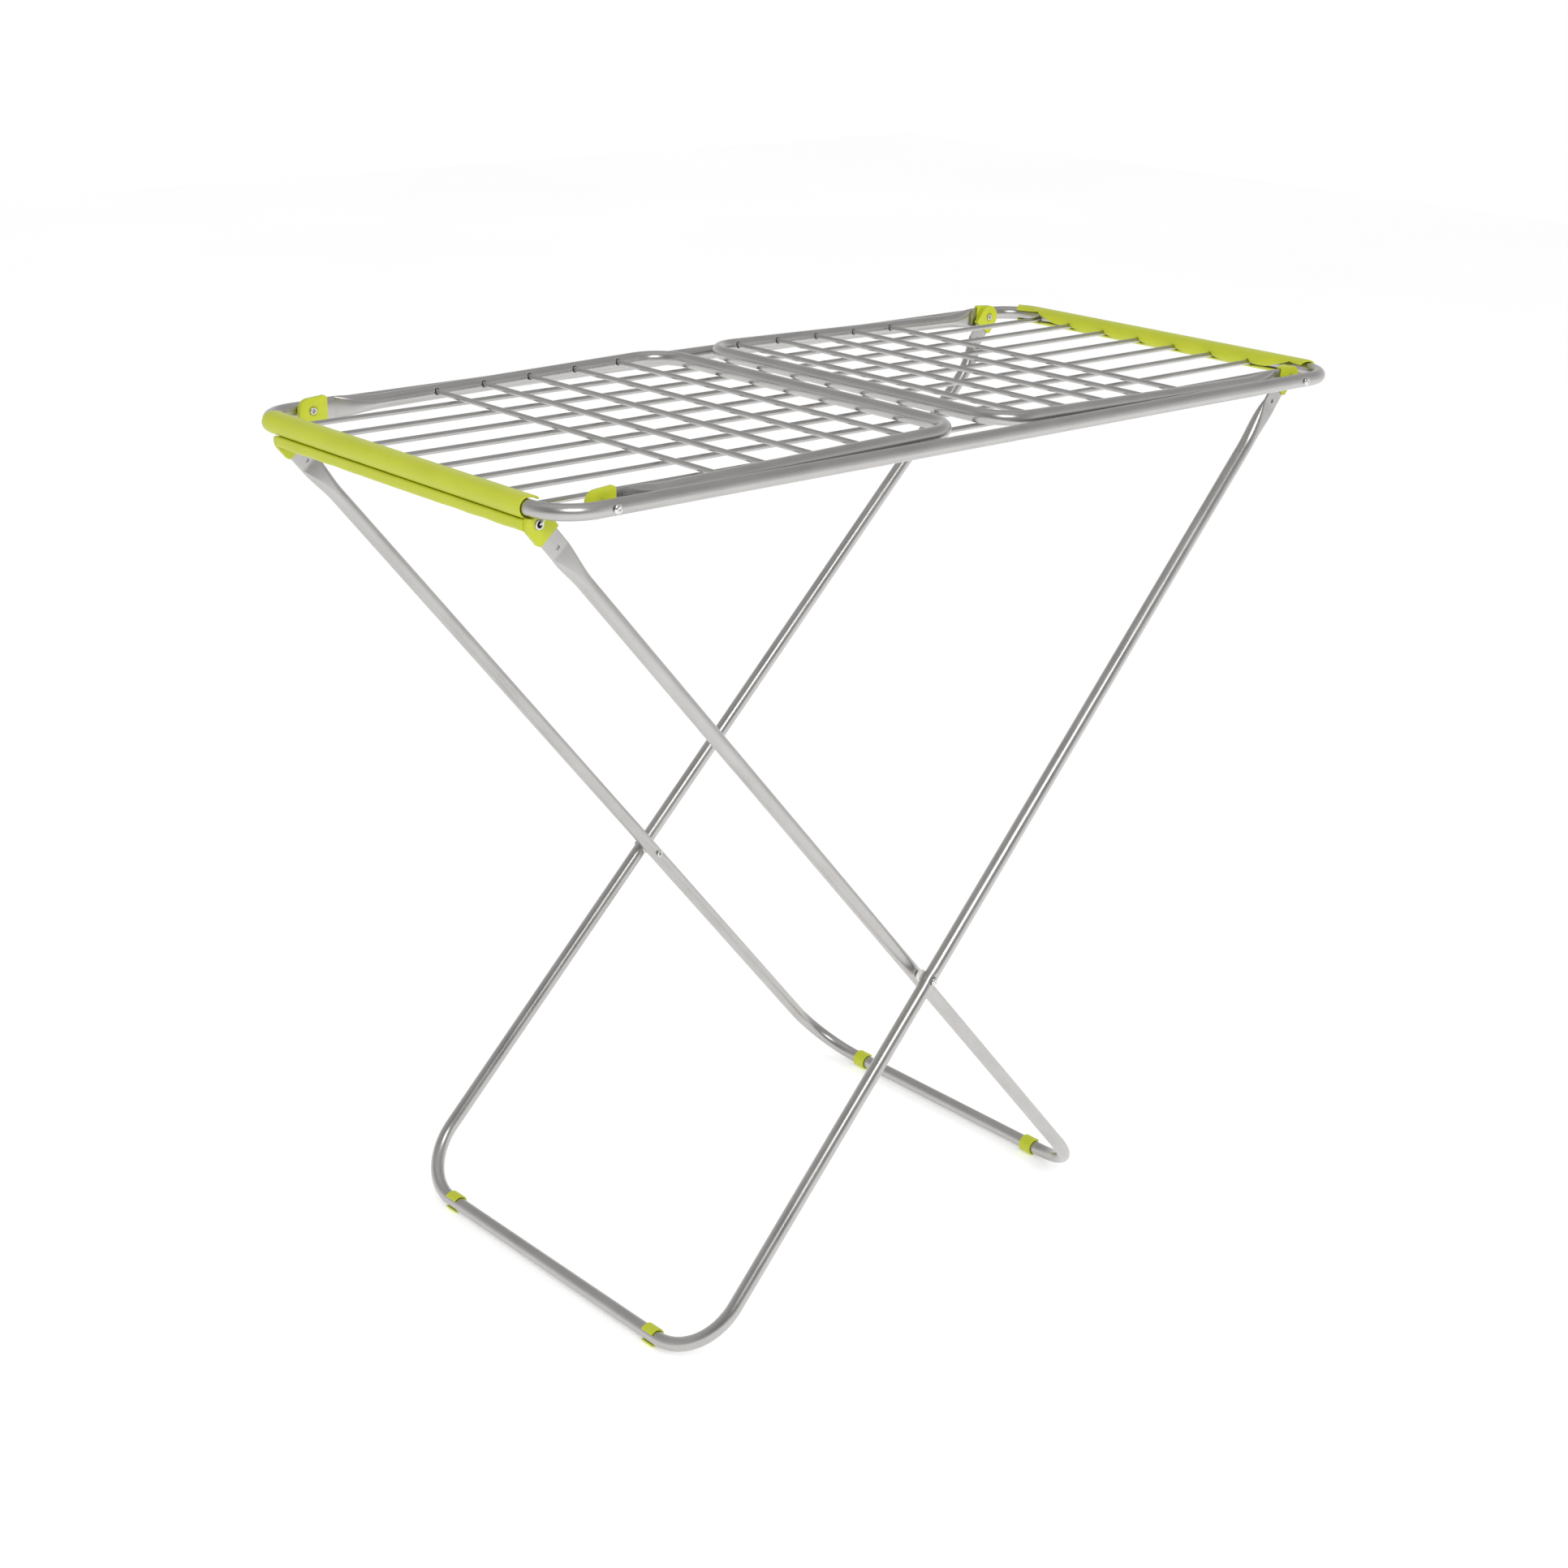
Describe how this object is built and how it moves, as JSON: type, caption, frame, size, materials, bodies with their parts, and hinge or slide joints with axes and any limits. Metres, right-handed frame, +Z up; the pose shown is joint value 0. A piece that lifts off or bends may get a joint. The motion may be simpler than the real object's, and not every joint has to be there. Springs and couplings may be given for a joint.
{
  "type": "clothes drying rack",
  "caption": "Folding clothes drying rack: wired tube bed with two fold-out wings, crossed U-shaped tube legs, clip-on plastic end covers, caps and foot pads.",
  "frame": {"origin": "middle of the bounding box, on the floor plane", "axes": "+X along the rack from the hook end to the leg A pivots, +Y across it, +Z up"},
  "size_m": [1.2024, 0.5656, 1.02],
  "materials": {
    "tube_aluminium": "satin drawn tube",
    "wire_aluminium": "satin drawn rod",
    "plated_steel": "bright plated rivets, eyelets and hook wire",
    "lime_plastic": "smooth semi-matt moulding",
    "nylon": "white moulded spacer"
  },
  "bodies": {
    "leg_a": {"leg_a_tube": "tube_aluminium", "leg_a_cap_near": "lime_plastic", "leg_a_cap_far": "lime_plastic", "leg_a_foot_near": "lime_plastic", "leg_a_foot_far": "lime_plastic", "crossing_rivet_near": "plated_steel", "crossing_rivet_far": "plated_steel", "crossing_spacer_near": "nylon", "crossing_spacer_far": "nylon"},
    "bed": {"bed_frame_tube": "tube_aluminium", "bed_wire_1": "wire_aluminium", "bed_wire_2": "wire_aluminium", "bed_wire_3": "wire_aluminium", "bed_wire_4": "wire_aluminium", "bed_wire_5": "wire_aluminium", "bed_wire_6": "wire_aluminium", "bed_wire_7": "wire_aluminium", "bed_wire_8": "wire_aluminium", "end_cover_left": "lime_plastic", "end_cover_right": "lime_plastic", "pivot_rivet_left_near": "plated_steel", "pivot_rivet_left_far": "plated_steel", "pivot_rivet_right_near": "plated_steel", "pivot_rivet_right_far": "plated_steel"},
    "leg_b": {"leg_b_tube": "tube_aluminium", "leg_b_cap_near": "lime_plastic", "leg_b_cap_far": "lime_plastic", "leg_b_eyelet_near": "plated_steel", "leg_b_eyelet_far": "plated_steel", "leg_b_crossbar": "lime_plastic", "leg_b_hook_wire": "plated_steel", "leg_b_foot_near": "lime_plastic", "leg_b_foot_far": "lime_plastic"},
    "left_wing": {"left_wing_tube": "tube_aluminium", "left_wing_wire_1": "wire_aluminium", "left_wing_wire_2": "wire_aluminium", "left_wing_wire_3": "wire_aluminium", "left_wing_wire_4": "wire_aluminium", "left_wing_wire_5": "wire_aluminium", "left_wing_cap_near": "lime_plastic", "left_wing_cap_far": "lime_plastic"},
    "right_wing": {"right_wing_tube": "tube_aluminium", "right_wing_wire_1": "wire_aluminium", "right_wing_wire_2": "wire_aluminium", "right_wing_wire_3": "wire_aluminium", "right_wing_wire_4": "wire_aluminium", "right_wing_wire_5": "wire_aluminium", "right_wing_cap_near": "lime_plastic", "right_wing_cap_far": "lime_plastic"}
  },
  "joints": [
    {"name": "bed_pivot", "type": "hinge", "parent": "leg_a", "child": "bed", "pos_m": [0.525, 0, 1.002], "axis": [0, 1, 0], "range_deg": [0, 41]},
    {"name": "leg_crossing", "type": "hinge", "parent": "leg_a", "child": "leg_b", "pos_m": [-0.0586, 0, 0.3761], "axis": [0, 1, 0], "range_deg": [0, 82]},
    {"name": "left_wing_pivot", "type": "hinge", "parent": "bed", "child": "left_wing", "pos_m": [-0.525, 0, 1.002], "axis": [0, -1, 0], "range_deg": [0, 152]},
    {"name": "right_wing_pivot", "type": "hinge", "parent": "bed", "child": "right_wing", "pos_m": [0.525, 0, 1.002], "axis": [0, 1, 0], "range_deg": [0, 152]}
  ],
  "couplings": [
    {"joint": "leg_crossing", "follows": "bed_pivot", "ratio": 2}
  ]
}
